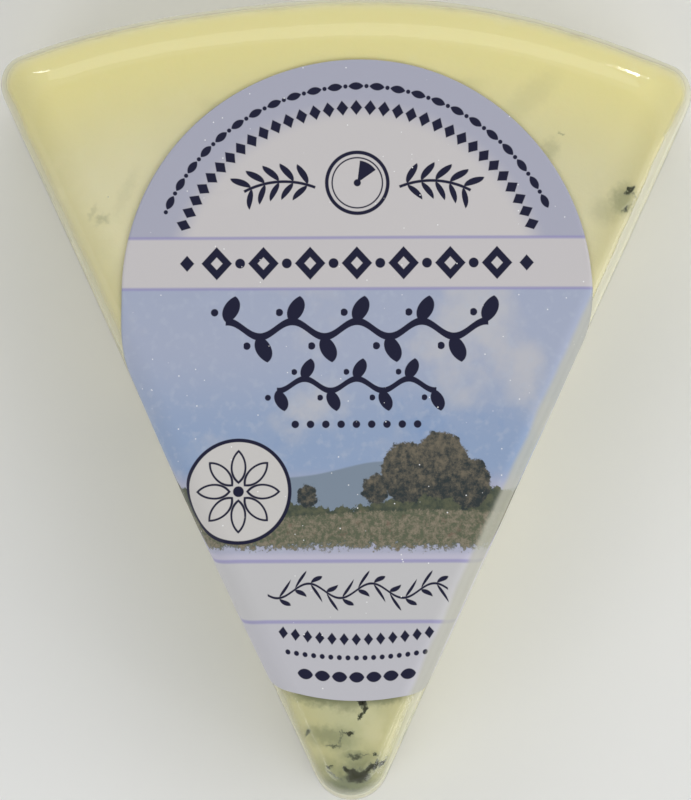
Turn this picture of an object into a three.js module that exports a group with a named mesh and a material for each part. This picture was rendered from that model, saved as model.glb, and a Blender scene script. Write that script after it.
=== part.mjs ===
// A wedge of blue cheese, shrink-wrapped in clear film, with an oblong label stuck over its top and
// folded down over both of its cut sides.
// Millimetres, +Z up. The wedge lies on its flat base, its tip points along -Y and its rind along +Y.
// The shapes are worked out with the two cuts meeting at the origin, a little off the axis of the wheel
// that the wedge was cut from, and the finished group is then moved so that its origin is the centre of
// the base.

import * as THREE from 'three';
import { mergeVertices } from 'three/addons/utils/BufferGeometryUtils.js';

// The wedge
const WHEEL_RADIUS = 97.8;
const WHEEL_X = -1.45;
const WHEEL_Y = -2.6;
const HALF_ANGLE = THREE.MathUtils.degToRad(24.6);
const THICKNESS = 28;
const TIP_RADIUS = 4.3;
const CORNER_RADIUS = 3.4;
const CORNER_GROWTH = 0.35; // how much the corners widen as the rim's shoulder turns inwards

// The rounded edges: shoulders at the top and feet at the base, along the cuts and along the rim
const CUT_SHOULDER = 2.2;
const RIM_SHOULDER = 6;
const CUT_FOOT = 1.5;
const RIM_FOOT = 3.2;

// How the soft cheese has settled, as shares of its size and as heights
const MIDDLE_Y = 60;
const BASE_SPREAD = 0.014;
const BELLY = 0.01;
const CROWN = 0.45;
const CROWN_REACH = 48;
const WAVE_HEIGHT = 0.16;
const WAVE_LENGTH = 9.5;
const WAVE_START = 1;
const SIDE_WAVE = 0.12;
const SIDE_WAVE_LENGTH = 11;
const SIDE_WAVE_LEAN = 2;
const RIM_WAVE = 0.4;
const RIM_WAVE_LENGTH = 9.2;
const RIM_WAVE_FADE = 9; // the power with which this wave fades from the rim towards the tip

// The label: two half circles joined by straight sides, a little off the wedge's axis
const LABEL_RADIUS = 26.2;
const LABEL_STRAIGHT = 19;
const LABEL_MIDDLE_Y = 52.1;
const LABEL_SHIFT = 0.8;
const LABEL_GAP = 0.25;
const LABEL_THICKNESS = 0.3;

// How finely the round stretches are divided
const TIP_STEPS = 6;
const SIDE_STEPS = 18;
const CORNER_STEPS = 5;
const RIM_STEPS = 26;
const EDGE_STEPS = 4;
const WALL_STEPS = 5;
const CAP_SCALES = [0.84, 0.6, 0.32];
const LABEL_FOLD_STEPS = 5;
const LABEL_TOP_STEPS = 8;
const LABEL_WALL_STEP = 2.6;
const LABEL_WALL_STEPS = 4;
const LABEL_LOW_STEPS = 20;
const LABEL_STRAIGHT_STEPS = 7;
const LABEL_HIGH_STEPS = 10;

const QUARTER_TURN = Math.PI / 2;
const MERGE_DISTANCE = 1e-4;

const CHEESE = new THREE.MeshStandardMaterial({ color: 0xd8cf98, roughness: 0.18, metalness: 0 });
const PAPER = new THREE.MeshStandardMaterial({ color: 0xb9bdd2, roughness: 0.4, metalness: 0 });

// The soft cheese spreads at its base, bellies at mid height, has a low crown and slow waves on top, and
// is a little uneven along its cuts and its rim.
// The label's points go through the same change, so it lies on the cheese everywhere.
function settle({ x, y, z }) {
  const up = z / THICKNESS;
  const reach = Math.hypot(x, y - MIDDLE_Y) / CROWN_REACH;
  const spread = 1 + BASE_SPREAD * (1 - up) + BELLY * Math.sin(Math.PI * up);
  const crown = CROWN * (1 - Math.min(reach, 1) ** 2);
  const wave = WAVE_HEIGHT * Math.sin(x / WAVE_LENGTH + WAVE_START) * Math.sin(y / WAVE_LENGTH);
  const sway = SIDE_WAVE * Math.sin(y / SIDE_WAVE_LENGTH + SIDE_WAVE_LEAN * up);
  const rimShare = y / (WHEEL_Y + WHEEL_RADIUS);
  const rimWave = RIM_WAVE * Math.sin(x / RIM_WAVE_LENGTH) * rimShare ** RIM_WAVE_FADE;
  return new THREE.Vector3(
    x * spread + sway,
    MIDDLE_Y + (y - MIDDLE_Y) * spread + rimWave,
    z + up * (crown + wave),
  );
}

// How far a rounded edge of that radius stands in, at that distance from the flat face
function edgeInset(distance, radius) {
  const left = Math.max(radius - distance, 0);
  return radius - Math.sqrt(radius * radius - left * left);
}

// The points of an arc, both ends included
function arc(x, y, radius, from, to, steps) {
  return new THREE.EllipseCurve(x, y, radius, radius, from, to, false, 0).getPoints(steps);
}

// Stretches end to end, each starting where the one before it ends
function chain(...stretches) {
  return stretches.flatMap((points, i) => (i ? points.slice(1) : points));
}

// The right half of the outline as far as the rim, and the angle round the wheel where the rim starts
function halfOutline(cutInset, rimInset, wheelX) {
  const corner = CORNER_RADIUS + CORNER_GROWTH * rimInset;
  const inset = cutInset + corner;
  const along = new THREE.Vector2(Math.sin(HALF_ANGLE), Math.cos(HALF_ANGLE));
  const inwards = new THREE.Vector2(-Math.cos(HALF_ANGLE), Math.sin(HALF_ANGLE));
  const wheel = new THREE.Vector2(wheelX, WHEEL_Y);
  const cornerReach = WHEEL_RADIUS - rimInset - corner;
  const reach = wheel.dot(along) + Math.sqrt(cornerReach ** 2 - (inset - wheel.dot(inwards)) ** 2);
  const centre = along.multiplyScalar(reach).addScaledVector(inwards, inset);
  const rimStart = centre.clone().sub(wheel).angle();
  const tipY = TIP_RADIUS / Math.sin(HALF_ANGLE);
  const tipArc = arc(0, tipY, TIP_RADIUS - cutInset, -QUARTER_TURN, -HALF_ANGLE, TIP_STEPS);
  const cornerArc = arc(centre.x, centre.y, corner, -HALF_ANGLE, rimStart, CORNER_STEPS);
  const side = new THREE.LineCurve(tipArc.at(-1), cornerArc[0]).getPoints(SIDE_STEPS);
  return { points: chain(tipArc, side, cornerArc), rimStart };
}

// The wedge's outline with its cuts and its rim moved inwards, counter-clockwise from the tip
function outline(cutInset, rimInset) {
  const right = halfOutline(cutInset, rimInset, WHEEL_X);
  const left = halfOutline(cutInset, rimInset, -WHEEL_X);
  const rim = WHEEL_RADIUS - rimInset;
  const rimArc = arc(WHEEL_X, WHEEL_Y, rim, right.rimStart, Math.PI - left.rimStart, RIM_STEPS);
  const mirrored = left.points.map((p) => new THREE.Vector2(-p.x, p.y)).reverse();
  return chain(right.points, rimArc, mirrored).slice(0, -1);
}

// The outline at height z, shrunk by scale towards the middle of the wedge
function ring(z, cutInset, rimInset, scale = 1) {
  return outline(cutInset, rimInset).map(
    ({ x, y }) => new THREE.Vector3(x * scale, MIDDLE_Y + (y - MIDDLE_Y) * scale, z),
  );
}

// Distances from a flat face at which the rounded cuts and the rounded rim are both followed closely
function edgeDistances(cutRadius, rimRadius) {
  const distances = new Set([0]);
  for (const radius of [cutRadius, rimRadius]) {
    for (let step = 1; step <= EDGE_STEPS; step += 1) {
      const turn = (step / EDGE_STEPS) * QUARTER_TURN;
      distances.add(radius * (1 - Math.cos(turn)));
    }
  }
  return [...distances].sort((a, b) => a - b);
}

function wedgeRings() {
  const rings = [];
  for (const scale of [...CAP_SCALES].reverse()) rings.push(ring(0, CUT_FOOT, RIM_FOOT, scale));
  for (const up of edgeDistances(CUT_FOOT, RIM_FOOT)) {
    rings.push(ring(up, edgeInset(up, CUT_FOOT), edgeInset(up, RIM_FOOT)));
  }
  const wallHeight = THICKNESS - RIM_SHOULDER - RIM_FOOT;
  for (let step = 1; step < WALL_STEPS; step += 1) {
    rings.push(ring(RIM_FOOT + (wallHeight * step) / WALL_STEPS, 0, 0));
  }
  for (const down of edgeDistances(CUT_SHOULDER, RIM_SHOULDER).reverse()) {
    const insets = [edgeInset(down, CUT_SHOULDER), edgeInset(down, RIM_SHOULDER)];
    rings.push(ring(THICKNESS - down, ...insets));
  }
  for (const scale of CAP_SCALES) rings.push(ring(THICKNESS, CUT_SHOULDER, RIM_SHOULDER, scale));
  return rings;
}

// A closed surface through rings of equal length, from a pole below the first to a pole above the last
function skin(rings, firstPole, lastPole) {
  const around = rings[0].length;
  const points = [...rings.flat(), firstPole, lastPole].map(settle);
  const first = rings.length * around;
  const faces = [];
  for (let i = 0; i < around; i += 1) {
    const next = (i + 1) % around;
    faces.push([first, next, i]);
    for (let level = 0; level < rings.length - 1; level += 1) {
      const low = level * around;
      const high = low + around;
      faces.push([low + i, low + next, high + next], [low + i, high + next, high + i]);
    }
    const top = (rings.length - 1) * around;
    faces.push([first + 1, top + i, top + next]);
  }
  return solid(points, faces);
}

// A geometry of those points and faces, with shared corners merged and faces without area left out
function solid(points, faces) {
  const loose = new THREE.BufferGeometry().setFromPoints(points);
  loose.setIndex(faces.flat());
  const merged = mergeVertices(loose, MERGE_DISTANCE);
  const corners = merged.getIndex().array;
  const kept = [];
  for (let i = 0; i < corners.length; i += 3) {
    const [a, b, c] = corners.slice(i, i + 3);
    if (a !== b && b !== c && c !== a) kept.push(a, b, c);
  }
  merged.setIndex(kept);
  merged.computeVertexNormals();
  return merged;
}

function wedge() {
  const base = new THREE.Vector3(0, MIDDLE_Y, 0);
  const top = new THREE.Vector3(0, MIDDLE_Y, THICKNESS);
  const mesh = new THREE.Mesh(skin(wedgeRings(), base, top), CHEESE);
  mesh.name = 'wrapped_wedge';
  return mesh;
}

// Heights of the label's rows on its flat cut, from its lower end to its upper end
function labelRows() {
  const low = LABEL_MIDDLE_Y - LABEL_STRAIGHT / 2;
  const high = LABEL_MIDDLE_Y + LABEL_STRAIGHT / 2;
  const rows = [];
  for (let i = 0; i <= LABEL_LOW_STEPS; i += 1) {
    rows.push(low - LABEL_RADIUS * Math.cos((i / LABEL_LOW_STEPS) * QUARTER_TURN));
  }
  for (let i = 1; i < LABEL_STRAIGHT_STEPS; i += 1) {
    rows.push(low + (LABEL_STRAIGHT * i) / LABEL_STRAIGHT_STEPS);
  }
  for (let i = 0; i <= LABEL_HIGH_STEPS; i += 1) {
    rows.push(high + LABEL_RADIUS * Math.sin((i / LABEL_HIGH_STEPS) * QUARTER_TURN));
  }
  return rows;
}

// Half of the label's width on its flat cut at height y
function labelHalfWidth(y) {
  const past = Math.max(Math.abs(y - LABEL_MIDDLE_Y) - LABEL_STRAIGHT / 2, 0);
  return Math.sqrt(Math.max(LABEL_RADIUS ** 2 - past ** 2, 0));
}

// Where the flat top ends and the label starts to fold down, as x at height y
function foldX(y) {
  return y * Math.tan(HALF_ANGLE) - CUT_SHOULDER / Math.cos(HALF_ANGLE);
}

// A point of the flat cut, folded over the wedge's edges at that distance above the cheese
function folded(x, y, lift) {
  const side = Math.sign(x) || 1;
  const out = (Math.abs(x) - foldX(y)) * Math.cos(HALF_ANGLE);
  if (out <= 0) return new THREE.Vector3(x, y, THICKNESS + lift);
  const quarter = CUT_SHOULDER * QUARTER_TURN;
  const turn = Math.min(out, quarter) / CUT_SHOULDER;
  const down = Math.max(out - quarter, 0);
  const reach = (CUT_SHOULDER + lift) * Math.sin(turn) - out;
  return new THREE.Vector3(
    x + side * reach * Math.cos(HALF_ANGLE),
    y - reach * Math.sin(HALF_ANGLE),
    THICKNESS - CUT_SHOULDER + (CUT_SHOULDER + lift) * Math.cos(turn) - down,
  );
}

// Where a row of the label has its points: evenly across the top, then by fixed steps down each side
function labelColumns(y) {
  const inner = foldX(y);
  const quarter = CUT_SHOULDER * QUARTER_TURN;
  const outs = [];
  for (let i = 1; i <= LABEL_FOLD_STEPS; i += 1) outs.push((quarter * i) / LABEL_FOLD_STEPS);
  for (let i = 1; i <= LABEL_WALL_STEPS; i += 1) outs.push(quarter + i * LABEL_WALL_STEP);
  const right = outs.map((out) => inner + out / Math.cos(HALF_ANGLE));
  const left = right.map((x) => -x).reverse();
  const top = [];
  for (let i = 0; i <= LABEL_TOP_STEPS; i += 1) top.push(inner * ((2 * i) / LABEL_TOP_STEPS - 1));
  return [...left, ...top, ...right];
}

// One row of the label's points, with those beyond its outline drawn in to it
function labelRow(y, lift) {
  const half = labelHalfWidth(y);
  return labelColumns(y).map((x) => {
    const kept = THREE.MathUtils.clamp(x, LABEL_SHIFT - half, LABEL_SHIFT + half);
    return folded(kept, y, lift);
  });
}

// The label: an outer and an inner face of the same rows, closed along the rim by the rows' ends
function label() {
  const rows = labelRows();
  const across = labelRow(rows[0], 0).length;
  const faceOf = (lift) => rows.map((y) => labelRow(y, lift)).flat();
  const points = [...faceOf(LABEL_GAP + LABEL_THICKNESS), ...faceOf(LABEL_GAP)].map(settle);
  const under = rows.length * across;
  const faces = [];
  const quad = (a, b, c, d) => faces.push([a, b, c], [a, c, d]);
  for (let row = 0; row < rows.length - 1; row += 1) {
    const start = row * across;
    const end = start + across - 1;
    for (let i = start; i < end; i += 1) {
      const above = i + across;
      quad(i, i + 1, above + 1, above);
      quad(i + under, above + under, above + 1 + under, i + 1 + under);
    }
    quad(start, start + across, start + across + under, start + under);
    quad(end, end + under, end + across + under, end + across);
  }
  const mesh = new THREE.Mesh(solid(points, faces), PAPER);
  mesh.name = 'label';
  return mesh;
}

const group = new THREE.Group();
group.add(wedge(), label());
const box = new THREE.Box3().setFromObject(group);
group.position.set(-(box.min.x + box.max.x) / 2, -(box.min.y + box.max.y) / 2, 0);

export default group;
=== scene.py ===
import math
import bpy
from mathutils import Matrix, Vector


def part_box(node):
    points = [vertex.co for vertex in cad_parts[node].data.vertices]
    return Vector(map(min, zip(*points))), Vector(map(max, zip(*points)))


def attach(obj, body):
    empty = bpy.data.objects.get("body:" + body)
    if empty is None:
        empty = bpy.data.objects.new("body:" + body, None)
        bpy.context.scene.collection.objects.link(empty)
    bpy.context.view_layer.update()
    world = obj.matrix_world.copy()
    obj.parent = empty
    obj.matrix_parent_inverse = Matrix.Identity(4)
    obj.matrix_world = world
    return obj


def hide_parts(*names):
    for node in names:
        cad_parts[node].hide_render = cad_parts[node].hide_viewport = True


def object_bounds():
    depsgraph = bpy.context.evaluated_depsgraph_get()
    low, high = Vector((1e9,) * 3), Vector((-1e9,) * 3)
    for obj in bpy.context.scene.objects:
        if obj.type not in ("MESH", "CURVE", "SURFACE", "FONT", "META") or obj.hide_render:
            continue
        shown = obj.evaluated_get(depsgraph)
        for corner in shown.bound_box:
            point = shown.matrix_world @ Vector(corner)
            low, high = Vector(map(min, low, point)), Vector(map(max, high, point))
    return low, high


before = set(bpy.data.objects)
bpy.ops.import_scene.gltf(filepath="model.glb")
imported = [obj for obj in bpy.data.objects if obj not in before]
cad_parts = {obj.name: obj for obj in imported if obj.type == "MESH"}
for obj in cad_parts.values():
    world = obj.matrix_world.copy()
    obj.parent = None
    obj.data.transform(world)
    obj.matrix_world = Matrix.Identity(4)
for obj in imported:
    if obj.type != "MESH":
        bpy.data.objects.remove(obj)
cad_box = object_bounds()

from types import SimpleNamespace

import bpy
import numpy as np
from mathutils import Matrix, Vector, kdtree, noise

# A wedge of blue cheese, shrink-wrapped in clear film, with a long printed label folded over its cuts.
# The shapes are worked out in millimetres in the wedge's own coordinates: the cuts meet at the origin,
# the tip points along -Y, the rind along +Y, and +Z is up. They are then moved into the frame.

MM = 0.001

# The wedge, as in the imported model
WHEEL_RADIUS = 97.8
WHEEL_X = -1.45
WHEEL_Y = -2.6
HALF_ANGLE = math.radians(24.6)
THICKNESS = 28
TIP_RADIUS = 4.3
CORNER_RADIUS = 3.4
CORNER_GROWTH = 0.35
CUT_SHOULDER = 2.2
RIM_SHOULDER = 6
CUT_FOOT = 1.5
RIM_FOOT = 3.2
MIDDLE_Y = 60
BASE_SPREAD = 0.014
BELLY = 0.01
CROWN = 0.45
CROWN_REACH = 48
WAVE_HEIGHT = 0.16
WAVE_LENGTH = 9.5
WAVE_START = 1
SIDE_WAVE = 0.12
SIDE_WAVE_LENGTH = 11
SIDE_WAVE_LEAN = 2
RIM_WAVE = 0.4
RIM_WAVE_LENGTH = 9.2
RIM_WAVE_FADE = 9

# The label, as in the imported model
LABEL_RADIUS = 26.2
LABEL_STRAIGHT = 19
LABEL_MIDDLE_Y = 52.1
LABEL_SHIFT = 0.8

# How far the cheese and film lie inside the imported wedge's surface, and the label outside it
CHEESE_INSET = 0.12
FILM_INSET = 0.04
LABEL_LIFT = 0.03
LABEL_THICKNESS = 0.14

# How finely the wedge and the label are divided
TIP_STEPS = 26
SIDE_STEPS = 150
CORNER_STEPS = 18
RIM_STEPS = 170
FOOT_STEPS = 7
WALL_STEPS = 48
SHOULDER_STEPS = 9
CAP_SCALES = [*np.arange(0.99, 0.6, -0.01), *np.arange(0.58, 0.05, -0.06)]
BASE_SCALES = [0.12, 0.3, 0.5, 0.7, 0.84, 0.94]
LABEL_ROUND_ROWS = 80
LABEL_STRAIGHT_ROWS = 40
LABEL_COLUMNS = 171
LABEL_END = 0.1  # half the width of the label's first and last rows
BORDER_STEPS = 9  # parts of each stretch of the outline, to measure distances to it

# Marks of mould on top: centre x and y, half length, half width, turn in degrees, and how dark
DARK_MARKS = [
    (1.35, 16.35, 0.5, 0.4, 90, 1.0),
    (1.6, 15.5, 0.6, 0.26, 75, 1.0),
    (1.2, 14.85, 0.5, 0.22, 50, 0.9),
    (0.95, 14.45, 0.3, 0.14, 60, 0.5),
    (-0.1, 12.8, 0.4, 0.24, -10, 0.95),
    (-0.75, 12.92, 0.55, 0.14, 5, 0.5),
    (-1.08, 12.2, 0.8, 0.14, 80, 0.35),
    (-4.75, 12.86, 0.32, 0.22, 60, 0.6),
    (-1.8, 11.42, 0.8, 0.17, 3, 0.5),
    (0.5, 10.22, 0.85, 0.26, -8, 0.6),
    (1.5, 10.42, 0.6, 0.13, 8, 0.4),
    (2.73, 10.4, 0.22, 0.2, 0, 0.75),
    (0.8, 8.05, 1.3, 0.66, 3, 1.0),
    (-0.46, 8.7, 0.5, 0.3, -50, 0.95),
    (0.2, 8.5, 0.7, 0.4, -20, 0.95),
    (2.2, 8.95, 0.95, 0.36, 36, 1.0),
    (2.75, 9.45, 0.4, 0.22, 80, 0.8),
    (3.5, 9.55, 0.75, 0.24, 32, 0.75),
    (4.1, 10.1, 0.3, 0.14, 45, 0.5),
    (-2.35, 9.16, 0.34, 0.15, -5, 0.75),
    (-2.0, 8.25, 0.9, 0.13, -36, 0.5),
    (-1.2, 7.75, 0.45, 0.12, -30, 0.4),
    (-0.9, 6.9, 0.6, 0.13, -20, 0.35),
    (-0.25, 6.45, 1.1, 0.2, 2, 0.45),
    (31.26, 73.1, 0.6, 0.28, 45, 0.95),
    (30.95, 71.1, 0.42, 0.3, 30, 0.7),
    (31.7, 72.6, 0.4, 0.14, -30, 0.4),
    (23.7, 79.4, 0.5, 0.18, -5, 0.28),
]
# Soft stains on top, in the same columns; the first three, along the label's lower edge, are painted
# shadow of the label
STAINS_AND_LABEL_SHADOW = [
    (-0.2, 16.4, 1.6, 1.2, 0, 0.6),
    (-3.0, 16.8, 3.6, 0.9, -8, 0.75),
    (3.8, 16.7, 2.6, 0.7, 8, 0.6),
    (-2.4, 12.5, 2.6, 0.9, -12, 0.6),
    (-1.2, 12.2, 1.2, 1.5, 80, 0.5),
    (-4.2, 12.4, 1.2, 0.6, -50, 0.4),
    (0.9, 8.6, 3.3, 1.6, 12, 0.7),
    (0.6, 10.3, 1.7, 0.6, 0, 0.55),
    (-2.2, 8.6, 1.8, 1.2, -30, 0.5),
    (-0.3, 6.9, 3.7, 1.8, 0, 0.95),
    (-0.2, 5.2, 2.8, 1.3, 0, 0.8),
    (30.5, 72.0, 1.7, 1.3, 60, 0.55),
    (28.6, 70.8, 1.6, 1.3, 0, 0.22),
    (22.5, 77.8, 1.1, 0.8, 80, 0.25),
    (20.3, 83.6, 3.4, 1.3, 40, 0.12),
    (-27.5, 70.1, 0.75, 0.42, 25, 0.34),
    (-28.5, 70.9, 0.9, 0.28, 70, 0.2),
    (-24.9, 73.2, 2.6, 0.6, 65, 0.1),
    (12.0, 84.5, 3.0, 0.8, 10, 0.1),
    (-14.0, 82.0, 2.2, 0.9, -30, 0.1),
]
DARK_SOFTNESS = 0.6
SOFT_SOFTNESS = 0.7
RAGGED_REACH = 1.9
HOLLOW_MARK = 0.3  # marks at least this wide are hollows too
MARK_DEPTH = 0.4
VEIN_DEPTH = 0.8
CHEESE_GRAIN = 0.015
NEEDLE_SPACING = 17
TOP_FADE = (THICKNESS - 4, THICKNESS - 1.5)  # the heights between which the sides turn into the top

# The film: how far it can lift off the cheese, how strong its fine wrinkles are, and the share of
# light that it mirrors where it is seen face on and edge on
FILM_ROOM = 0.24
FINE_WRINKLES = 0.04
FILM_MIRROR = 0.04
EDGE_MIRROR = 0.6

# The painted pale reflection along the film's upper edges: how wide at the right, elsewhere and at
# the tip, and how strong at the right, elsewhere and on the rim
SHEEN_RIGHT = 0.8
SHEEN_EDGE = 0.7
SHEEN_TIP = 0.4
SHEEN_STRONG = 0.62
SHEEN_FAINT = 0.45
SHEEN_RIM = 0.6
SHEEN_SHARP = 0.605  # a strip stronger than this has a sharp edge

# The camera: the point it looks at, its tilt, its slight roll and its distance
TARGET = Vector((-0.4031, 50.560, 14))
CAMERA_TILT = math.radians(3)
CAMERA_ROLL = math.radians(-0.2034)
CAMERA_DISTANCE = 620
LENS = 245.16
SENSOR = 36

# The room's light: its brightness high up, at the horizon and at its dark ceiling, and the heights
# between which the ceiling darkens, on a sphere of radius 1 round the object
ROOM_GLOW = 0.75
HORIZON_GLOW = 0.8
CEILING_GLOW = 0.12
CEILING_START = 0.82
CEILING_FULL = 0.94
FLOOR_HALF = 1.5

# The lights, white and soft: azimuth and elevation in degrees, distance, width and height in metres,
# and watts
LIGHTS = {
    "right_card": (-20, 18, 0.62, 0.36, 0.42, 1.1),
    "box_right": (-46, 38, 0.8, 0.34, 0.3, 0.8),
    "box_left": (226, 38, 0.8, 0.34, 0.3, 0.8),
    "box_behind": (90, 40, 0.8, 0.6, 0.34, 0.85),
    "lamp_right": (65.6, 19.5, 0.65, 0.018, 0.042, 0.1),
    "lamp_left": (117, 21.6, 0.65, 0.09, 0.033, 0.13),
}

# Colours as a screen shows them, 0 to 255: the cheese, its mould and its rind, with painted shade at
# the cut edges and under the label
IVORY = (229, 223, 181)
WARM_IVORY = (220, 214, 171)
SIDE_IVORY = (233, 227, 186)
BUTTER = (240, 230, 157)
CREAM = (240, 233, 190)
CUT_EDGE_SHADE = (204, 196, 138)
GREY_GREEN = (186, 188, 142)
STAIN_AND_SHADE = (120, 127, 92)
MARK_EDGE = (112, 118, 92)
MARK_CORE = (56, 58, 34)
PALE_VEIN = (168, 172, 138)
GREEN_VEIN = (112, 120, 92)
BLUE_VEIN = (104, 122, 114)
DEEP_VEIN = (62, 70, 54)
THREAD = (158, 165, 134)
THREAD_CORE = (96, 110, 96)
FLECK = (140, 150, 122)
RIND_BROWN = (205, 190, 138)
RIND_GREY = (170, 172, 140)

# The film's painted pale reflection, its dust with painted glints, the floor and the room
PAINTED_EDGE_SHEEN = (230, 229, 212)
DUST_AND_GLINT = (238, 238, 230)
FLOOR = (236, 236, 234)
ROOM = (248, 249, 250)

# The label's painted fold reflection and glints, its fields and ink, and its view from the sky down
FOLD_SHEEN = (176, 175, 159)
PAINTED_GLINT = (240, 240, 240)
LILAC = (173, 174, 190)
PALE_LILAC = (193, 190, 207)
LOW_LILAC = (194, 193, 199)
FIELD_WHITE = (205, 201, 201)
BAND_WHITE = (203, 199, 200)
LOW_BAND_WHITE = (198, 197, 198)
BADGE_WHITE = (205, 202, 199)
VIOLET = (150, 146, 190)
NAVY = (20, 21, 50)
HIGH_SKY = (168, 176, 198)
LOW_SKY = (146, 165, 196)
DEEP_SKY = (116, 148, 192)
PINK_SKY = (182, 180, 196)
PALE_SKY = (186, 194, 208)
CLOUD = (194, 194, 199)
HILL = (128, 142, 158)
DARK_WOOD = (62, 72, 62)
LIGHT_WOOD = (98, 100, 78)
DARK_LEAVES = (46, 54, 56)
LIGHT_LEAVES = (116, 108, 92)
DARK_GRASS = (92, 98, 78)
LIGHT_GRASS = (140, 130, 112)
EARTH = (112, 90, 78)

# The print on the label, in millimetres from its middle: the arch's centre, the rules' heights with
# half their widths, the trees' centres and sizes, the badge, and the rows of ornaments
ARCH = (0.12, 9.43)
FIELD_RADIUS = 20.6
BAND_TOP = 15.79
BAND_LOW = 10.1
LOW_BAND_TOP = -20.22
LOW_BAND_LOW = -26.93
RULES = [(BAND_TOP, 0.3), (BAND_LOW, 0.3), (LOW_BAND_TOP, 0.36), (LOW_BAND_LOW, 0.36)]
HORIZON = -12.6
TREES = [
    (2.2, -12.2, 1.5),
    (5.6, -10.4, 2.9),
    (9.4, -9.6, 3.2),
    (12.6, -11.6, 2.4),
    (-5.4, -13.0, 1.1),
]
BADGE = (-13.06, -12.46)
BADGE_RADIUS = 5.7
OUTER_ROW = 23.3
OUTER_PITCH = 2.35
INNER_ROW = 20.9
INNER_PITCH = 1.55
EMBLEM_V = 21.9
SPRIG_CENTRE = (8.2, -9.2)
SPRIG_RADIUS = 9.4
SOFT_EDGE = 0.06
INK_EDGE = 0.05

# The label's small creases: centre x and y, half length, half width, and turn in degrees
LABEL_CREASES = [(-16.5, 61.3, 2.6, 0.5, 12), (-14.4, 72.6, 1.6, 0.45, -8), (9.5, 47.9, 1.4, 0.4, 5)]
CREASE_HEIGHT = 0.18
LABEL_WAVE = 0.02


# Shapes


def settle(points):
    """How the soft cheese has settled: a spread base, a belly, a low crown and slow waves."""
    x, y, z = points.T
    up = z / THICKNESS
    reach = np.minimum(np.hypot(x, y - MIDDLE_Y) / CROWN_REACH, 1)
    spread = 1 + BASE_SPREAD * (1 - up) + BELLY * np.sin(np.pi * up)
    crown = CROWN * (1 - reach**2)
    wave = WAVE_HEIGHT * np.sin(x / WAVE_LENGTH + WAVE_START) * np.sin(y / WAVE_LENGTH)
    sway = SIDE_WAVE * np.sin(y / SIDE_WAVE_LENGTH + SIDE_WAVE_LEAN * up)
    rim_share = y / (WHEEL_Y + WHEEL_RADIUS)
    rim_wave = RIM_WAVE * np.sin(x / RIM_WAVE_LENGTH) * rim_share**RIM_WAVE_FADE
    settled_y = MIDDLE_Y + (y - MIDDLE_Y) * spread + rim_wave
    return np.stack([x * spread + sway, settled_y, z + up * (crown + wave)], axis=1)


def edge_inset(distance, radius):
    """How far a rounded edge stands in, at that distance from the flat face."""
    left = max(radius - distance, 0)
    return radius - math.sqrt(radius * radius - left * left)


def arc(x, y, radius, start, end, steps):
    turn = np.linspace(start, end, steps + 1)
    return np.stack([x + radius * np.cos(turn), y + radius * np.sin(turn)], axis=1)


def line(start, end, steps):
    share = np.linspace(0, 1, steps + 1)[:, None]
    return start + (end - start) * share


def chain(*stretches):
    """Stretches end to end, each starting where the one before it ends."""
    return np.concatenate([stretches[0], *(points[1:] for points in stretches[1:])])


def half_outline(cut_inset, rim_inset, wheel_x):
    """The right half of the outline up to the rim, and the wheel's angle where the rim starts."""
    corner = CORNER_RADIUS + CORNER_GROWTH * rim_inset
    inset = cut_inset + corner
    along = np.array([math.sin(HALF_ANGLE), math.cos(HALF_ANGLE)])
    inwards = np.array([-math.cos(HALF_ANGLE), math.sin(HALF_ANGLE)])
    wheel = np.array([wheel_x, WHEEL_Y])
    corner_reach = WHEEL_RADIUS - rim_inset - corner
    reach = wheel @ along + math.sqrt(corner_reach**2 - (inset - wheel @ inwards) ** 2)
    centre = along * reach + inwards * inset
    rim_start = math.atan2(centre[1] - wheel[1], centre[0] - wheel[0])
    tip_y = TIP_RADIUS / math.sin(HALF_ANGLE)
    tip_arc = arc(0, tip_y, TIP_RADIUS - cut_inset, -math.pi / 2, -HALF_ANGLE, TIP_STEPS)
    corner_arc = arc(*centre, corner, -HALF_ANGLE, rim_start, CORNER_STEPS)
    side = line(tip_arc[-1], corner_arc[0], SIDE_STEPS)
    return chain(tip_arc, side, corner_arc), rim_start


def outline(cut_inset, rim_inset):
    """The outline with its cuts and rim moved inwards, counter-clockwise from the tip."""
    right, right_start = half_outline(cut_inset, rim_inset, WHEEL_X)
    left, left_start = half_outline(cut_inset, rim_inset, -WHEEL_X)
    radius = WHEEL_RADIUS - rim_inset
    rim = arc(WHEEL_X, WHEEL_Y, radius, right_start, math.pi - left_start, RIM_STEPS)
    return chain(right, rim, (left * (-1, 1))[::-1])[:-1]


def edge_distances(cut_radius, rim_radius, steps):
    """Distances from a flat face at which the rounded cuts and rim are both followed closely."""
    turns = np.linspace(0, math.pi / 2, steps + 1)
    distances = [radius * (1 - np.cos(turns)) for radius in (cut_radius, rim_radius)]
    return np.unique(np.round(np.concatenate(distances), 6))


def wedge_rings():
    """Rings of equal length from the middle of the base, up the sides, to the middle of the top."""
    middle = np.array([0, MIDDLE_Y])
    rings = []

    def add(z, insets, scale=1):
        flat = middle + (outline(*insets) - middle) * scale
        rings.append(np.column_stack([flat, np.full(len(flat), z)]))

    for scale in BASE_SCALES:
        add(0, (CUT_FOOT, RIM_FOOT), scale)
    for up in edge_distances(CUT_FOOT, RIM_FOOT, FOOT_STEPS):
        add(up, (edge_inset(up, CUT_FOOT), edge_inset(up, RIM_FOOT)))
    for z in np.linspace(RIM_FOOT, THICKNESS - RIM_SHOULDER, WALL_STEPS + 1)[1:-1]:
        add(z, (0, 0))
    for down in edge_distances(CUT_SHOULDER, RIM_SHOULDER, SHOULDER_STEPS)[::-1]:
        add(THICKNESS - down, (edge_inset(down, CUT_SHOULDER), edge_inset(down, RIM_SHOULDER)))
    for scale in CAP_SCALES:
        add(THICKNESS, (CUT_SHOULDER, RIM_SHOULDER), scale)
    return np.array(rings)


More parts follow.
